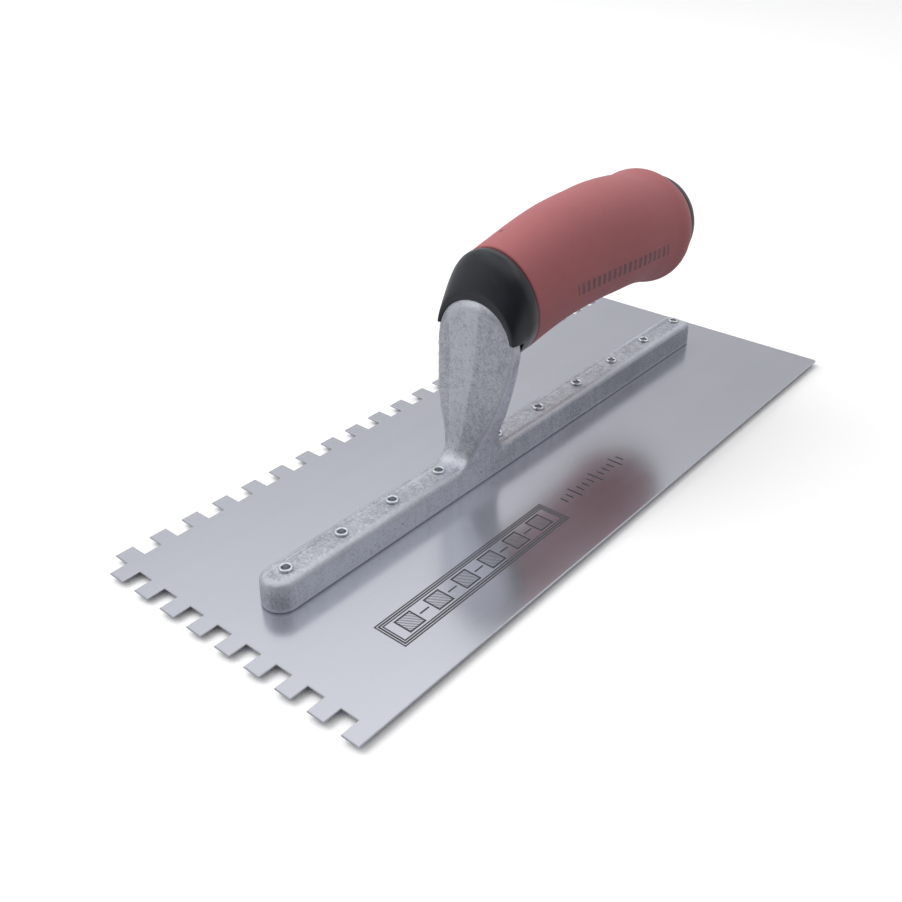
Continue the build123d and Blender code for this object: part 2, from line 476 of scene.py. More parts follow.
def fill_ramp(ramp, stops):
    """Sets a colour ramp to (position, colour) stops."""
    while len(ramp.elements) < len(stops):
        ramp.elements.new(1.0)
    for element, (position, colour) in zip(ramp.elements, stops):
        element.position = position
        element.color = (*colour, 1.0)


def finish(name, build):
    """A material whose tree is filled in by build, which returns the sockets of its shader."""
    material = bpy.data.materials.new(name)
    material.use_nodes = True
    tree = Tree(material.node_tree)
    shader = tree.add("ShaderNodeBsdfPrincipled", None, build(tree))
    tree.add("ShaderNodeOutputMaterial", None, {"Surface": shader})
    return material


def tint(colour, gain):
    """A colour made lighter or darker by a gain."""
    return tuple(c * gain for c in colour[:3])


def etched_mark(tree):
    """1 on the etched lines: a frame round a row of hatched squares joined by dashes, and a ruled scale."""
    x, y, z = tree.axes(tree.position())
    line, soft = 0.31 * MM, 0.12 * MM
    # three borders, 0.9 mm apart
    frame_x, frame_y = x + 65.0 * MM, y + 35.5 * MM
    outside = tree.maths("MAXIMUM", abs(frame_x) - 39.4 * MM, abs(frame_y) - 5.2 * MM)
    borders = tree.maths("PINGPONG", outside + 0.9 * MM, 0.45 * MM).within(line, soft)
    borders = borders * outside.within(1.1 * MM, soft)
    # hatched squares as wide as a notch, and dashes between them
    from_middle = tree.maths("PINGPONG", frame_x + NOTCH * MM, NOTCH * MM)
    from_square = tree.maths("MAXIMUM", from_middle, abs(frame_y)) - NOTCH / 2 * MM
    outline = from_square.within(line, soft)
    hatch = 1 - tree.maths("PINGPONG", frame_x + frame_y, 0.5 * MM).step(0.12 * MM, 0.24 * MM)
    hatched = hatch * (0.0 - from_square).step(0.0, soft)
    dashes = frame_y.within(line, soft) * from_middle.step(4.3 * MM, 4.4 * MM)
    dashes = dashes * frame_x.within(32.0 * MM, soft)
    inside = (0.0 - outside).step(1.0 * MM, 1.1 * MM)
    # ruled scale: short ticks at a quarter of the notch pitch, long ones at each pitch
    scale_x, scale_y = x - 0.5 * MM, y + 34.5 * MM
    tick = 1 - tree.maths("PINGPONG", scale_x + 24.0 * MM, NOTCH / 4 * MM).step(line, line + soft)
    long_tick = 1 - tree.maths("PINGPONG", scale_x + 24.0 * MM, NOTCH * MM).step(line, line + soft)
    reach = scale_x.within(19.3 * MM, soft)
    ruled = reach * (tick * scale_y.within(1.6 * MM, soft) + long_tick * scale_y.within(3.2 * MM, soft))
    marks = borders + (outline + hatched + dashes) * inside + ruled
    return tree.maths("MINIMUM", marks, 1.0) * z.step(0.5 * MM, 0.6 * MM)


def brushed_steel(colour):
    """Satin steel: fine lines along it, faint long bands, a painted highlight along the near long edge and an
    etched diagram.
    """
    def build(tree):
        lines = tree.noise(tree.position((6.0, 2600.0, 400.0)), 1.0, 3.0)
        bands = tree.noise(tree.position((2.0, 60.0, 1.0)), 1.0, 2.0)
        clouds = tree.noise(tree.position(), 30.0, 4.0)
        specks = tree.noise(tree.position(), 2600.0, 1.0)
        etched = etched_mark(tree)
        _, y, _ = tree.axes(tree.position())
        # painted highlight: the near long edge is made lighter, rougher and less metallic within about 0.3 mm
        # of it
        from_edge = y - blade_low.y
        painted_highlight = 1 - from_edge.step(0.20 * MM, 0.35 * MM)
        tone = (lines - 0.5) * 0.22 + (bands - 0.5) * 0.30 + (clouds - 0.5) * 0.20 + 0.5
        steel = tree.mix(tone + painted_highlight * 2.0, tint(colour, 0.90), tint(colour, 1.10))
        oxide = tree.mix(specks, (0.012, 0.013, 0.016), (0.036, 0.037, 0.043))
        return {
            "Base Color": tree.mix(etched * 0.97, steel, oxide),
            "Metallic": 0.87 - etched * 0.8 - painted_highlight * 0.5,
            "Roughness": 0.20 + (lines - 0.5) * 0.10 + (clouds - 0.5) * 0.08 + etched * 0.30 + painted_highlight * 0.3,
            "Normal": tree.bump(lines * 0.5 + specks * 0.2 - etched * 1.5, 0.004 * MM, 0.6),
        }
    return finish("blade_steel", build)


def tumbled_casting(colour):
    """Tumbled cast aluminium: mottled grey, fine grain, flow streaks, small pits, edges brightened by wear,
    painted shade and highlights.
    """
    def build(tree):
        place = tree.position()
        x, y, z = tree.axes(place)
        grain = tree.noise(place, 1300.0, 3.0, 0.7)
        mottle = tree.noise(place, 480.0, 4.0, 0.62)
        clouds = tree.noise(place, 70.0, 3.0)
        streaks = tree.noise(tree.position((420.0, 420.0, 30.0)), 1.0, 3.0)
        flow = tree.noise(tree.position((14.0, 900.0, 90.0)), 1.0, 3.0)
        # flow lines along the far half of the bar's top
        on_top = z.step(10.4 * MM, 10.9 * MM) * (1 - z.step(11.4 * MM, 12.0 * MM))
        laps = on_top * (flow - 0.5) * (y - 3.2 * MM + (clouds - 0.5) * 2.0 * MM).within(1.3 * MM, 1.5 * MM)
        cells = tree.add("ShaderNodeTexVoronoi", None, {"Vector": place, "Scale": 190.0})
        pits = (1 - cells.step(0.04, 0.13)) * mottle.step(0.50, 0.62)
        # high values mark proud edges, brightened by wear; low values mark hollows and creases, which get
        # painted shade
        worn = tree.add("ShaderNodeAttribute", {"attribute_name": "worn"}, output="Fac")
        bright = worn.step(0.25, 1.0)
        hollow = (0.0 - worn).step(0.10, 0.8)
        # painted highlight on the raised panel up the shank's face, whose half width is about z * 0.27 + 3 mm
        across = y / (z * 0.27 + 3.0 * MM) + (streaks - 0.5) * 0.12
        on_face = z.step(13.0 * MM, 20.0 * MM) * (1 - x.step(-23.4 * MM, -22.4 * MM))
        painted_highlight = (across - 0.22).within(0.34, 0.08) * on_face
        # painted light and shade on the near side of the bar, lighter towards the toe and darker towards the
        # heel, and a painted highlight on the foot of the shank
        beside = (1 - z.step(9.4 * MM, 10.6 * MM)) * (0.0 - y).step(4.2 * MM, 5.2 * MM)
        painted_side_shading = beside * (0.40 - x.step(-70.0 * MM, 60.0 * MM) * 0.75)
        foot_height = z.step(10.6 * MM, 12.0 * MM) * (1 - z.step(16.0 * MM, 22.0 * MM))
        foot = (x + 41.0 * MM).within(7.0 * MM, 6.0 * MM) * foot_height
        tone = ((mottle - 0.5) * 1.3 + (grain - 0.5) * 2.6 + (clouds - 0.5) * 0.9
                + (streaks - 0.5) * 0.5 + laps * 3.5 + painted_highlight * 0.42 + painted_side_shading + foot * 0.45 + 0.5)
        skin = tree.mix(tone, tint(colour, 0.70), tint(colour, 1.30))
        edged = tree.mix(bright * 0.6, skin, tint(colour, 1.30))
        # painted shade in the hollows, creases and pits
        shaded = tree.mix(tree.maths("MINIMUM", hollow * 0.35 + pits * 0.75, 1.0), edged, tint(colour, 0.30))
        relief = grain * 0.7 + mottle * 0.9 + streaks * 0.2 - pits * 1.6 + laps * 5.0
        return {
            "Base Color": shaded,
            "Metallic": 0.92,
            "Roughness": 0.43 + (mottle - 0.5) * 0.25 + bright * 0.10 + pits * 0.2,
            "Normal": tree.bump(relief, 0.14 * MM, 0.6),
        }
    return finish("cast_aluminium", build)


def bright_zinc(colour):
    """Plated rivet: bright rolled metal with tool rings, rougher and with painted shade down into the hollow.
    """
    def build(tree):
        place = tree.position()
        _, _, z = tree.axes(place)
        grain = tree.noise(place, 2400.0, 2.0)
        smear = tree.noise(place, 700.0, 3.0)
        # painted shade: darker and rougher towards the bottom of the rivet's hollow
        depth = (BAR_TOP * MM - z).step(0.0, 1.3 * MM)
        tone = (smear - 0.5) * 1.2 + (grain - 0.5) * 0.6 + 0.5
        plate = tree.mix(tone, tint(colour, 0.80), tint(colour, 1.12))
        return {
            "Base Color": tree.mix(depth * 0.7, plate, tint(colour, 0.36)),
            "Metallic": 1.0,
            "Roughness": 0.22 + (smear - 0.5) * 0.2 + depth * 0.3,
            "Normal": tree.bump(grain * 0.4 + smear, 0.03 * MM, 0.6),
        }
    return finish("rivet_zinc", build)


def soft_rubber(colour):
    """Matte moulded rubber: leathery grain, cloudy bloom, a mould pin's pit with painted shade in it and a
    printed row of bars.
    """
    def build(tree):
        place = tree.position()
        x, y, z = tree.axes(place)
        grain = tree.noise(place, 1900.0, 2.0, 0.6)
        bloom = tree.noise(place, 45.0, 3.0)
        mottle = tree.noise(place, 350.0, 3.0)
        print_x, print_z = x - 37.5 * MM, z - 63.6 * MM
        slant = print_x + print_z * 0.35
        bars = 1 - tree.maths("PINGPONG", slant + 60.0 * MM, 1.5 * MM).step(0.75 * MM, 0.95 * MM)
        printed = bars * slant.within(27.0 * MM, 0.1 * MM) * print_z.within(2.3 * MM, 0.15 * MM)
        ink = printed * (0.0 - y).step(0.0, 1.0 * MM) * mottle.step(0.22, 0.42)
        # the small pit that a mould pin leaves on top, near the collar, darkened by painted shade
        pin_x, pin_y, pin_z = tree.axes(tree.position((1.0, 1.0, 1.0), (-4.0 * MM, 5.2 * MM, 83.5 * MM)))
        pit = 1 - tree.length(pin_x, pin_y, pin_z).step(0.5 * MM, 1.2 * MM)
        tone = (bloom - 0.5) * 0.9 + (mottle - 0.5) * 0.35 + (grain - 0.5) * 0.25 + 0.5
        skin = tree.mix(tone, tint(colour, 0.88), tint(colour, 1.12))
        return {
            "Base Color": tree.mix(tree.maths("MAXIMUM", ink * 0.75, pit * 0.85), skin, (0.10, 0.065, 0.085)),
            "Roughness": 0.56 + (bloom - 0.5) * 0.12 + (grain - 0.5) * 0.1,
            "Normal": tree.bump(grain + mottle * 0.5 - pit * 6.0, 0.03 * MM, 0.5),
            "Specular IOR Level": 0.42,
            "Sheen Weight": 0.08,
            "Sheen Roughness": 0.5,
            "Sheen Tint": (0.9, 0.72, 0.75, 1.0),
        }
    return finish("grip_rubber", build)


def moulded_plastic(name, colour, roughness):
    """Dark moulded plastic: fine spark texture, faint sink clouds and light scuffs."""
    def build(tree):
        place = tree.position()
        spark = tree.noise(place, 2200.0, 2.0, 0.6)
        clouds = tree.noise(place, 80.0, 3.0)
        scuffs = tree.noise(tree.position((1500.0, 90.0, 160.0)), 1.0, 3.0).step(0.62, 0.78)
        tone = (clouds - 0.5) * 1.2 + (spark - 0.5) * 0.5 + 0.5
        skin = tree.mix(tone, tint(colour, 0.75), tint(colour, 1.3))
        return {
            "Base Color": tree.mix(scuffs * 0.25, skin, tint(colour, 4.0)),
            "Roughness": roughness + (clouds - 0.5) * 0.14 + scuffs * 0.12,
            "Normal": tree.bump(spark + clouds * 2.0, 0.025 * MM, 0.45),
            "Specular IOR Level": 0.46,
            "Coat Weight": 0.25,
            "Coat Roughness": 0.18,
        }
    return finish(name, build)


def core_plastic():
    """Hidden moulded core: pale grey glass-filled plastic with flow lines and fibre flecks."""
    def build(tree):
        flow = tree.noise(tree.position((30.0, 260.0, 260.0)), 1.0, 4.0)
        flecks = tree.noise(tree.position((500.0, 2200.0, 2200.0)), 1.0, 2.0)
        skin = tree.mix(flow, (0.15, 0.155, 0.16), (0.27, 0.27, 0.265))
        return {
            "Base Color": tree.mix(flecks.step(0.55, 0.75) * 0.5, skin, (0.42, 0.42, 0.40)),
            "Roughness": 0.5 + (flow - 0.5) * 0.2,
            "Normal": tree.bump(flow + flecks * 0.5, 0.05 * MM, 0.5),
        }
    return finish("core_plastic", build)


def fixing_steel():
    """Zinc-plated screw and washer: turned rings about the screw's axis and a yellow-grey bloom."""
    def build(tree):
        place = tree.position((1.0, 1.0, 1.0), (0.0, 0.0, SCREW_HEIGHT * MM))
        _, y, z = tree.axes(place)
        radius = tree.maths("SQRT", y * y + z * z)
        rings = tree.maths("PINGPONG", radius, 0.22 * MM) / (0.22 * MM)
        bloom = tree.noise(place, 420.0, 3.0)
        plate = tree.mix(bloom, (0.55, 0.56, 0.56), (0.74, 0.72, 0.64))
        return {
            "Base Color": plate,
            "Metallic": 1.0,
            "Roughness": 0.30 + (bloom - 0.5) * 0.25,
            "Normal": tree.bump(rings * 0.6 + bloom, 0.02 * MM, 0.5),
        }
    return finish("fixing_steel", build)


# ---------------------------------------------------------------- pieces
def corner_arc(centre, radius, start, end, count):
    """Points round an arc, from one angle to another in degrees."""
    turn = np.radians(np.linspace(start, end, count))
    return np.stack([centre[0] + radius * np.cos(turn), centre[1] + radius * np.sin(turn)], axis=1)


def bar_outline(inset):
    """Outline of the bar: a half circle at the toe end, straight sides and small round corners at the heel."""
    half = BAR_HALF_WIDTH - inset
    heel = casting_high.x / MM - inset
    corner = max(HEEL_CORNER - inset, 0.4)
    nose = corner_arc((casting_low.x / MM + BAR_HALF_WIDTH, 0.0), half, 90, 270, 40)
    near = corner_arc((heel - corner, corner - half), corner, 270, 360, 10)
    far = corner_arc((heel - corner, half - corner), corner, 0, 90, 10)
    return np.vstack([nose, near, far])


def bar_shell(edge):
    """The bar: its outline at rising levels, drawn in by height * tan(draft) + edge * (1 - cos(turn))."""
    base = blade_high.z / MM
    wall = np.linspace(base, BAR_TOP - edge, 12)
    turn = np.radians(np.linspace(0, 90, 10)[1:])
    heights = np.concatenate([wall, BAR_TOP - edge + edge * np.sin(turn)])
    rounding = np.concatenate([np.zeros_like(wall), edge * (1 - np.cos(turn))])
    insets = (heights - base) * math.tan(math.radians(BAR_DRAFT)) + rounding
    rings = [level(bar_outline(inset), height) for inset, height in zip(insets, heights)]
    return surface("bar", np.array(rings))


def shank_shell():
    """The shank: six-sided sections through the stations, each side a straight line between two corners.

    The front side stands forward by FACE_CROWN * panel(share of its width).
    """
    height, front, half, side, back, back_half = through(SHANK, 6).T
    corners = np.stack([
        np.stack([front, half], -1), np.stack([front, -half], -1), np.stack([front + side, -half], -1),
        np.stack([back, -back_half], -1), np.stack([back, back_half], -1), np.stack([front + side, half], -1),
    ], axis=1)
    steps = 12
    share = np.linspace(0, 1, steps, endpoint=False)[None, None, :, None]
    ahead = np.roll(corners, -1, axis=1)
    outline = corners[:, :, None] * (1 - share) + ahead[:, :, None] * share
    outline[:, 0, :, 0] -= FACE_CROWN * panel(share[0, 0, :, 0])
    flat = outline.reshape(len(height), -1, 2)
    rings = np.concatenate([flat, np.broadcast_to(height[:, None, None], flat.shape[:2] + (1,))], axis=-1)
    return surface("shank", rings)


def panel(share):
    """How proud the front face stands at a share of its width: a flat panel between two slopes."""
    return np.interp(share, [0.0, 0.22, 0.56, 1.0], [0.0, 1.0, 1.0, 0.0])


def head_shell():
    """Round head of the shank's face: a disc along X, its rings growing from the middle to the radius.

    The face falls back towards the rim by 0.5 * share ** 24, and the panel fades out there.
    """
    face, centre, radius, depth = HEAD
    turn = np.linspace(0, 2 * math.pi, 96, endpoint=False)
    inner = np.linspace(0.01, 0.99, 24)
    size = radius * np.concatenate([inner, [0.993, 1.0, 1.0, 0.988, 0.956]])[:, None]
    along = np.concatenate([0.5 * inner ** 24, [0.5, 1.0, depth - 1.0, depth - 0.4, depth]])[:, None]
    fade = np.clip(6.0 * (1 - size / radius), 0, 1)
    along = along - FACE_CROWN * fade * panel((1 - size / radius * np.cos(turn)) / 2) * (along < 1)
    rings = np.stack(np.broadcast_arrays(
        face + along, size * np.cos(turn), centre + size * np.sin(turn)), axis=-1)
    return surface("head", rings)


def tang_shell():
    """The tang: a rounded rectangle carried along the handle, its height set by the stations.

    The section is (cos, sin) over (|cos| ** 4 + |sin| ** 4) ** (1 / 4).
    """
    along, low, high = through(TANG, 8).T
    turn = np.linspace(0, 2 * math.pi, 48, endpoint=False)
    square = 4.0
    reach = (np.abs(np.cos(turn)) ** square + np.abs(np.sin(turn)) ** square) ** (-1 / square)
    side = TANG_HALF_WIDTH * reach * np.cos(turn)
    rise = reach * np.sin(turn)
    middle, half = (low + high) / 2, (high - low) / 2
    rings = np.stack(np.broadcast_arrays(
        along[:, None], side, middle[:, None] + half[:, None] * rise), axis=-1)
    return surface("tang", rings)


def at_rivets(name, profile, count):
    """One object from a turned profile repeated at every rivet."""
    rings = turned(profile, count)
    return join(name, [surface(name, rings + np.array((x, 0.0, 0.0))) for x in RIVET_PLACES])


def rivet_holes():
    """Straight bores through the bar, one at each rivet."""
    return at_rivets("bores", [(RIVET_SHANK, -1.0), (RIVET_SHANK, BAR_TOP + 2.8)], 32)


def tapped_hole():
    """Bore in the end of the tang for the screw."""
    turn = np.linspace(0, 2 * math.pi, 32, endpoint=False)
    side, height = SCREW_RADIUS * np.cos(turn), SCREW_HEIGHT + SCREW_RADIUS * np.sin(turn)
    rings = np.stack(np.broadcast_arrays(np.array(SCREW_HOLE)[:, None], side, height), axis=-1)
    return surface("tapped_hole", rings)


def ease_foot(casting, rounds):
    """Eases the casting that many rounds where the shank springs from the bar, fading out all round."""
    points = np.empty(len(casting.data.vertices) * 3)
    casting.data.vertices.foreach_get("co", points)
    x, _, z = points.reshape(-1, 3).T / MM
    along = np.clip((x + 46.0) / 6.0, 0, 1) * np.clip((-5.0 - x) / 6.0, 0, 1)
    weight = along * np.clip((z - 6.5) / 2.5, 0, 1) * np.clip((26.0 - z) / 8.0, 0, 1)
    foot = casting.vertex_groups.new(name="foot")
    for level in range(1, 11):
        foot.add(np.flatnonzero(np.round(weight * 10) == level).tolist(), level / 10, "REPLACE")
    ease = casting.modifiers.new("ease foot", "SMOOTH")
    ease.factor = 0.5
    ease.iterations = rounds
    ease.vertex_group = "foot"
    settle(casting)


def build_casting(shape, colours):
    """Bar, shank, head and tang blended into one casting, then bored for the rivets and the screw."""
    edge = shape.bar_edge / MM
    casting = join("bar_and_shank_casting", [bar_shell(edge), shank_shell(), head_shell(), tang_shell()])
    blended(casting, shape.casting_grid, rounds=6)
    ease_foot(casting, rounds=50)
    mark_edges(casting.data, rounds=14, reach=0.22 * MM)
    cut(casting, rivet_holes())
    cut(casting, tapped_hole())
    shade(casting, True)
    stand_for(casting, "mounting", tumbled_casting(colours.casting))


def blade_outline():
    """Outline of the blade, from the heel's far corner round by the toe: teeth and notches of equal width."""
    low, high = np.array(blade_low)[:2] / MM, np.array(blade_high)[:2] / MM
    side_count = round((high[0] - low[0]) / NOTCH_PITCH)
    toe_count = round((high[1] - low[1]) / NOTCH_PITCH)
    corner = BLADE_CORNER
    # far long edge: each notch is entered from the heel side and left on the toe side
    start = low[0] + NOTCH_PITCH * np.arange(side_count)[::-1]
    far_x = np.stack([start + NOTCH, start + NOTCH, start, start], axis=1).ravel()[:-1]
    far_y = np.tile([high[1], high[1] - NOTCH, high[1] - NOTCH, high[1]], side_count)[:-1]
    # toe: the same, going down, past the notch that took the corner
    top = high[1] - NOTCH_PITCH * np.arange(1, toe_count)
    toe_y = np.stack([top, top, top - NOTCH, top - NOTCH], axis=1).ravel()
    toe_x = np.tile([low[0], low[0] + NOTCH, low[0] + NOTCH, low[0]], toe_count - 1)
    return np.vstack([
        corner_arc((high[0] - corner, high[1] - corner), corner, 0, 90, 7),
        np.column_stack([far_x, far_y]), np.column_stack([toe_x, toe_y]), [(low[0], low[1])],
        corner_arc((high[0] - corner, low[1] + corner), corner, 270, 360, 7),
    ])


def drawn_in(outline, inset):
    """An outline moved inwards by an inset, every corner along the line that halves it."""
    ahead = np.roll(outline, -1, axis=0) - outline
    ahead /= np.linalg.norm(ahead, axis=1, keepdims=True)
    inward = np.column_stack([-ahead[:, 1], ahead[:, 0]])
    before = np.roll(inward, 1, axis=0)
    return outline + inset * (inward + before) / (1 + np.sum(inward * before, axis=1, keepdims=True))


def build_blade(shape, colours):
    """The blade: its outline at four levels with broken edges, countersunk for the rivets."""
    outline = blade_outline()
    chamfer, top = shape.blade_chamfer / MM, blade_high.z / MM
    levels = [(0.0, chamfer), (chamfer, 0.0), (top - chamfer, 0.0), (top, chamfer)]
    rings = np.array([level(drawn_in(outline, inset), height) for height, inset in levels])
    blade = surface("blade_sheet", rings)
    # the countersink's cone, carried on half a millimetre past both faces
    past = 0.5
    more = past * (RIVET_HEAD - RIVET_SHANK) / top
    cut(blade, at_rivets("sinks", [(RIVET_HEAD + more, -past), (RIVET_SHANK - more, top + past)], 32))
    shade(blade, False)
    stand_for(blade, "blade", brushed_steel(colours.steel))


def rivet_profile():
    """Half section of a rivet: flush head, shank, an arc over the rolled ring, and down into the hollow."""
    head, shank, pole = RIVET_HEAD - 0.04, RIVET_SHANK - 0.04, 0.02
    ring_middle, ring_size = 1.80, 0.52
    turn = np.radians(np.linspace(-35, 205, 15))
    ring = np.column_stack([ring_middle + ring_size * np.cos(turn), BAR_TOP + 0.30 + 0.50 * np.sin(turn)])
    return np.vstack([
        [(pole, 0.0), (head - 0.06, 0.0), (head, 0.05), (shank, blade_high.z / MM), (shank, BAR_TOP - 0.02)],
        ring,
        [(1.26, BAR_TOP - 0.5), (1.22, BAR_TOP - 1.0), (0.9, BAR_TOP - 1.4), (pole, BAR_TOP - 1.5)],
    ])


def build_rivets(colours):
    """Ten hollow rivets, turned from one profile."""
    rivets = at_rivets("rolled_rivets", rivet_profile(), 40)
    shade(rivets, True)
    stand_for(rivets, "rivets", bright_zinc(colours.zinc))


def collar_window():
    """Tool for the collar's front opening: an arch as wide as the shank's head, open below."""
    face, centre, radius, _ = HEAD
    arch = corner_arc((0.0, centre), radius, 0, 180, 64)
    outline = np.vstack([arch, [(-radius, 20.0), (radius, 20.0)]])
    # level() gives (y, z, x), so the last part is moved to the front
    rings = np.array([level(outline, x) for x in (face - 6.0, face)])[:, :, [2, 0, 1]]
    return surface("window", rings)


def collar_undercut():
    """Tool that trims the collar below its skirt, ahead of where the nose passes the shank's side."""
    outline = np.array([(-40.0, SKIRT_HEIGHT), (-40.0, 30.0), (SKIRT_BACK, 30.0), (SKIRT_BACK, SKIRT_HEIGHT)])
    rings = np.array([level(outline, y) for y in (-40.0, 40.0)])[:, :, [0, 2, 1]]
    return surface("undercut", rings)


def build_collar(shape, colours):
    """The collar: leaning ellipses from the grip joint to a flat front, opened for the shank."""
    along, middle, half_height, half_width, lean, depth = through(COLLAR, 8).T
    collar = surface("collar_boot", ellipses(along, middle, half_height, half_width, lean, 128, depth))
    cut(collar, collar_window())
    cut(collar, collar_undercut())
    for shell in (shank_shell(), head_shell(), tang_shell()):
        cut(collar, shell)
    blended(collar, shape.collar_grid, rounds=3)
    shade(collar, True)
    satin = moulded_plastic("collar_plastic", colours.plastic, 0.30)
    stand_for(collar, "front_collar", satin)


def sleeve_rings(wall):
    """Rings of the sleeve's closed section: along the skin to the back, then forward along the inner wall."""
    steps = 8
    table = through(HANDLE, steps)
    along = HANDLE_JOINT + HANDLE_STEP / steps * np.arange(len(table))
    depth = np.concatenate([np.zeros(len(table)), np.full(len(table), wall)])
    middle, half_height, half_width, lean = np.vstack([table, table[::-1]]).T
    there_and_back = np.concatenate([along, along[::-1]])
    return ellipses(there_and_back, middle, half_height - depth, half_width - depth, lean, 128)


def build_sleeve(shape, colours):
    """The soft grip: leaning ellipses through the handle's stations, an outer skin and an inner wall."""
    sleeve = surface("rubber_sleeve", sleeve_rings(shape.sleeve_wall / MM), close_rows=True)
    bevel = sleeve.modifiers.new("lips", "BEVEL")
    bevel.width = shape.sleeve_lip
    bevel.segments = 3
    bevel.limit_method = "ANGLE"
    bevel.angle_limit = math.radians(50)
    settle(sleeve)
    shade(sleeve, True)
    stand_for(sleeve, "grip_sleeve", soft_rubber(colours.rubber))


def build_cap(colours):
    """The end cap: a dome behind the sleeve, its size cos(turn) ** 0.72, and a spigot that plugs the core."""
    joint, shy, pole = HANDLE_JOINT + HANDLE_STEP * (len(HANDLE) - 1), 0.3, 0.01
    middle, half_height, half_width, _ = HANDLE[-1]
    turn = np.radians(np.linspace(0, 90, 16)[:-1])
    spigot = [joint - SPIGOT_LENGTH, joint - SPIGOT_LENGTH, joint]
    along = np.concatenate([spigot, joint + (CAP_TIP - joint) * np.sin(turn), [CAP_TIP]])
    size = np.concatenate([[pole, SPIGOT_SHARE, SPIGOT_SHARE], np.cos(turn) ** 0.72, [pole]])
    flat = np.zeros_like(along)
    rings = ellipses(along, flat + middle, size * (half_height - shy), size * (half_width - shy), flat, 128)
    cap = surface("butt_cap", rings)
    shade(cap, True)
    # painted light: the cap is the collar's plastic made 1.5 times lighter, and rougher
    stand_for(cap, "end_cap", moulded_plastic("cap_plastic", tint(colours.plastic, 1.5), 0.40))


def refinish(node, material):
    """Gives a node of the frame a better material and leaves its shape alone."""
    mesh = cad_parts[node].data
    if not mesh.materials:
        mesh.materials.append(material)
    for index in range(len(mesh.materials)):
        mesh.materials[index] = material


# ---------------------------------------------------------------- stage
def build_floor(stage):
    """A wide pale floor just under the blade."""
    half, height = 4.0, -stage.floor_drop
    corners = [(-half, -half, height), (half, -half, height), (half, half, height), (-half, half, height)]
    mesh = bpy.data.meshes.new("studio_floor")
    mesh.from_pydata(corners, [], [(0, 1, 2, 3)])
    floor = bpy.data.objects.new("studio_floor", mesh)
    bpy.context.scene.collection.objects.link(floor)

    def build(tree):
        mist = tree.noise(tree.position(), 3.0, 2.0)
        seen = tree.add("ShaderNodeLightPath", output="Is Camera Ray")
        bounce = tree.mix(mist, (0.46, 0.46, 0.47), (0.50, 0.50, 0.51))
        paint = tree.mix(seen, bounce, (1.0, 1.0, 1.0))
        return {"Base Color": paint, "Roughness": 0.9, "Specular IOR Level": 0.0}
    mesh.materials.append(finish("floor_white", build))


def build_sky(strength):
    """Studio walls and ceiling: dim low down, brightest half way up, and darker behind and beside the camera.

    The camera itself sees plain white.
    """
    world = bpy.data.worlds.new("studio")
    world.use_nodes = True
    bpy.context.scene.world = world
    tree = Tree(world.node_tree)
    direction = tree.add("ShaderNodeTexCoord", output="Generated")
    x, y, height = tree.axes(direction)
    rising = [(0.0, 0.60), (0.38, 0.62), (0.53, 0.73), (0.63, 0.95), (0.74, 1.20), (0.84, 1.06), (1.0, 0.78)]
    stops = [(share, (grey, grey, grey + 0.01)) for share, grey in rising]
    glow = tree.add("ShaderNodeValToRGB", {"stops": stops}, {"Fac": height})
    behind = (x * -0.76 + y * -0.65).step(0.05, 0.9) * (1 - height.step(0.6, 0.9))
    beside = (x * 0.45 - y).step(-0.25, 0.15) * (1 - height.step(0.5, 0.7))
    shaded = tree.mix(behind * 0.72 + beside * 0.16, glow, (0.0, 0.0, 0.0))
    seen = tree.add("ShaderNodeLightPath", output="Is Camera Ray")
    colour = tree.mix(seen, shaded, (0.96, 0.96, 0.96))
    background = tree.add("ShaderNodeBackground", None, {"Color": colour, "Strength": strength})
    tree.add("ShaderNodeOutputWorld", None, {"Surface": background})


def softbox(name, power, size, place, aim):
    """A square area light at a place, turned to face a point, and hidden from reflections."""
    light = bpy.data.lights.new(name, "AREA")
    light.energy = power
    light.size = size
    lamp = bpy.data.objects.new(name, light)
    lamp.location = place
    lamp.visible_glossy = False
    lamp.rotation_euler = (Vector(aim) - Vector(place)).to_track_quat("-Z", "Y").to_euler()
    bpy.context.scene.collection.objects.link(lamp)


def build_camera(stage):
    """The camera, from its angles round the target."""
    azimuth, elevation = stage.azimuth, stage.elevation
    back = Vector((math.sin(azimuth) * math.cos(elevation), -math.cos(azimuth) * math.cos(elevation),
                   math.sin(elevation)))
    right = Vector((math.cos(azimuth), math.sin(azimuth), 0.0))
    up = back.cross(right)
    level = Matrix((right, up, back)).transposed().to_4x4()
    camera = bpy.data.cameras.new("camera")
    camera.lens = stage.lens
    camera.sensor_width = 36.0
    camera.clip_start = 0.01
    view = bpy.data.objects.new("camera", camera)
    place = Matrix.Translation(Vector(stage.target) + stage.distance * back)
    view.matrix_world = place @ level @ Matrix.Rotation(stage.roll, 4, "Z")
    bpy.context.scene.collection.objects.link(view)
    bpy.context.scene.camera = view


# ---------------------------------------------------------------- operators and panel
class TROWEL_OT_blade(bpy.types.Operator):
    """Build the notched blade with its broken edges and etched diagram"""
    bl_idname = "trowel.blade"
    bl_label = "Blade"

    def execute(self, context):
        build_blade(context.scene.trowel_shape, context.scene.trowel_finish)
        return {"FINISHED"}


class TROWEL_OT_casting(bpy.types.Operator):
    """Build the bar, shank and tang as one blended casting"""
    bl_idname = "trowel.casting"
    bl_label = "Casting"

    def execute(self, context):
        build_casting(context.scene.trowel_shape, context.scene.trowel_finish)
        return {"FINISHED"}


class TROWEL_OT_rivets(bpy.types.Operator):
    """Build the row of hollow rivets"""
    bl_idname = "trowel.rivets"
    bl_label = "Rivets"

    def execute(self, context):
        build_rivets(context.scene.trowel_finish)
        return {"FINISHED"}


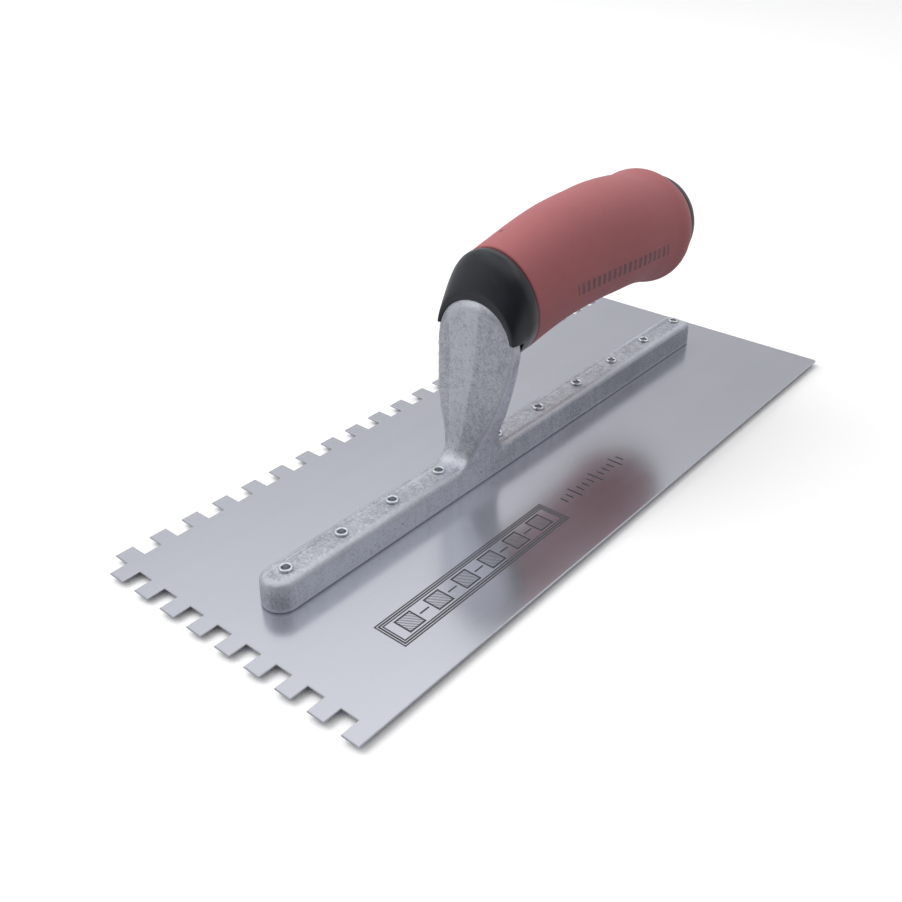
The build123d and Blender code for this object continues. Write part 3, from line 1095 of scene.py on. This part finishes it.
class TROWEL_OT_collar(bpy.types.Operator):
    """Build the moulded collar that wraps the head of the shank"""
    bl_idname = "trowel.collar"
    bl_label = "Collar"

    def execute(self, context):
        build_collar(context.scene.trowel_shape, context.scene.trowel_finish)
        return {"FINISHED"}


class TROWEL_OT_grip(bpy.types.Operator):
    """Build the soft grip sleeve and the end cap behind it"""
    bl_idname = "trowel.grip"
    bl_label = "Grip and cap"

    def execute(self, context):
        build_sleeve(context.scene.trowel_shape, context.scene.trowel_finish)
        build_cap(context.scene.trowel_finish)
        return {"FINISHED"}


class TROWEL_OT_hidden(bpy.types.Operator):
    """Finish the pieces inside the handle: core, screw and washer"""
    bl_idname = "trowel.hidden"
    bl_label = "Hidden pieces"

    def execute(self, context):
        steel = fixing_steel()
        refinish("handle_core", core_plastic())
        refinish("tang_screw", steel)
        refinish("tang_washer", steel)
        return {"FINISHED"}


class TROWEL_OT_stage(bpy.types.Operator):
    """Lay the floor, hang the lights and set the camera"""
    bl_idname = "trowel.stage"
    bl_label = "Stage"

    def execute(self, context):
        stage = context.scene.trowel_stage
        build_floor(stage)
        build_sky(stage.sky)
        softbox("key_softbox", stage.key, 1.4, (-0.45, 0.95, 1.15), (0.0, 0.0, 0.03))
        softbox("side_softbox", stage.fill, 0.7, (-0.9, -0.15, 0.45), (0.0, 0.0, 0.04))
        build_camera(stage)
        context.scene.view_settings.view_transform = "Standard"
        context.scene.cycles.use_denoising = True
        return {"FINISHED"}


OPERATORS = (TROWEL_OT_blade, TROWEL_OT_casting, TROWEL_OT_rivets, TROWEL_OT_collar, TROWEL_OT_grip,
             TROWEL_OT_hidden, TROWEL_OT_stage)


class TROWEL_PT_sidebar(bpy.types.Panel):
    """Buttons for every piece, and the settings they read"""
    bl_idname = "TROWEL_PT_sidebar"
    bl_label = "Notched trowel"
    bl_space_type = "VIEW_3D"
    bl_region_type = "UI"
    bl_category = "Trowel"

    def draw(self, context):
        for operator in OPERATORS:
            self.layout.operator(operator.bl_idname)
        for group in (context.scene.trowel_shape, context.scene.trowel_finish, context.scene.trowel_stage):
            box = self.layout.box()
            for name in group.__annotations__:
                box.prop(group, name)


CLASSES = (TrowelShape, TrowelFinish, TrowelStage, *OPERATORS, TROWEL_PT_sidebar)


def register():
    for each in CLASSES:
        bpy.utils.register_class(each)
    bpy.types.Scene.trowel_shape = PointerProperty(type=TrowelShape)
    bpy.types.Scene.trowel_finish = PointerProperty(type=TrowelFinish)
    bpy.types.Scene.trowel_stage = PointerProperty(type=TrowelStage)


def unregister():
    del bpy.types.Scene.trowel_stage
    del bpy.types.Scene.trowel_finish
    del bpy.types.Scene.trowel_shape
    for each in reversed(CLASSES):
        bpy.utils.unregister_class(each)


def main():
    """Builds everything in order."""
    register()
    bpy.ops.trowel.stage()
    bpy.ops.trowel.blade()
    bpy.ops.trowel.casting()
    bpy.ops.trowel.rivets()
    bpy.ops.trowel.collar()
    bpy.ops.trowel.grip()
    bpy.ops.trowel.hidden()


if __name__ == "__main__":
    main()
